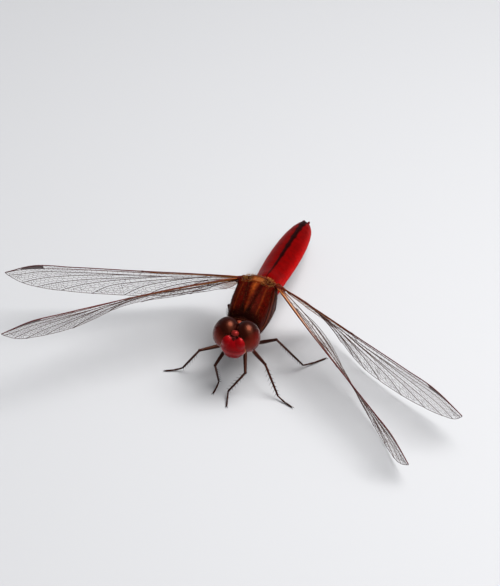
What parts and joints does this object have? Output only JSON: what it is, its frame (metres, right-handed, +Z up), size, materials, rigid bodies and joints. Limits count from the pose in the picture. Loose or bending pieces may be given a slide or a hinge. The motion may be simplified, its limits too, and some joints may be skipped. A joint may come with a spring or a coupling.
{
  "type": "dragonfly",
  "caption": "Life-size scarlet dragonfly at rest on its feet, with large eyes, spread wings swept forward and a flattened tapering abdomen.",
  "frame": {"origin": "on the floor the insect stands on, under the middle of the box that holds it", "axes": "+X towards the insect's own left, +Y towards its tail, +Z up; the head looks along -Y, turned a few degrees to its left"},
  "size_m": [0.0712, 0.0534, 0.0139],
  "materials": {
    "eye_shell": "dark red brown, smooth and glossy",
    "face_shell": "crimson, glossy",
    "head_shell": "dark red brown, satin",
    "thorax_shell": "rusty dark red, finely haired",
    "abdomen_shell": "scarlet with a black line down the middle, satin",
    "leg_shell": "blackish red brown, satin",
    "wing_membrane": "clear membrane between fine dark veins, amber at the base"
  },
  "bodies": {
    "root": {"eye_left": "eye_shell", "eye_right": "eye_shell", "frons": "face_shell", "clypeus": "face_shell", "labrum": "face_shell", "labium": "face_shell", "vertex": "head_shell", "occiput": "head_shell", "antenna_left": "head_shell", "antenna_right": "head_shell", "prothorax": "thorax_shell", "thorax": "thorax_shell", "abdomen_1": "abdomen_shell", "abdomen_2": "abdomen_shell", "abdomen_3": "abdomen_shell", "abdomen_4": "abdomen_shell", "abdomen_5": "abdomen_shell", "abdomen_6": "abdomen_shell", "abdomen_7": "abdomen_shell", "abdomen_8": "abdomen_shell", "abdomen_9": "abdomen_shell", "abdomen_10": "abdomen_shell", "cercus_left": "abdomen_shell", "cercus_right": "abdomen_shell", "epiproct": "abdomen_shell", "wing_fore_left": "wing_membrane", "wing_fore_right": "wing_membrane", "wing_hind_left": "wing_membrane", "wing_hind_right": "wing_membrane", "leg_fore_left_coxa": "leg_shell", "leg_fore_left_femur": "leg_shell", "leg_fore_left_tibia": "leg_shell", "leg_fore_left_tarsus": "leg_shell", "leg_fore_right_coxa": "leg_shell", "leg_fore_right_femur": "leg_shell", "leg_fore_right_tibia": "leg_shell", "leg_fore_right_tarsus": "leg_shell", "leg_mid_left_coxa": "leg_shell", "leg_mid_left_femur": "leg_shell", "leg_mid_left_tibia": "leg_shell", "leg_mid_left_tarsus": "leg_shell", "leg_mid_right_coxa": "leg_shell", "leg_mid_right_femur": "leg_shell", "leg_mid_right_tibia": "leg_shell", "leg_mid_right_tarsus": "leg_shell", "leg_hind_left_coxa": "leg_shell", "leg_hind_left_femur": "leg_shell", "leg_hind_left_tibia": "leg_shell", "leg_hind_left_tarsus": "leg_shell", "leg_hind_right_coxa": "leg_shell", "leg_hind_right_femur": "leg_shell", "leg_hind_right_tibia": "leg_shell", "leg_hind_right_tarsus": "leg_shell"}
  },
  "joints": []
}
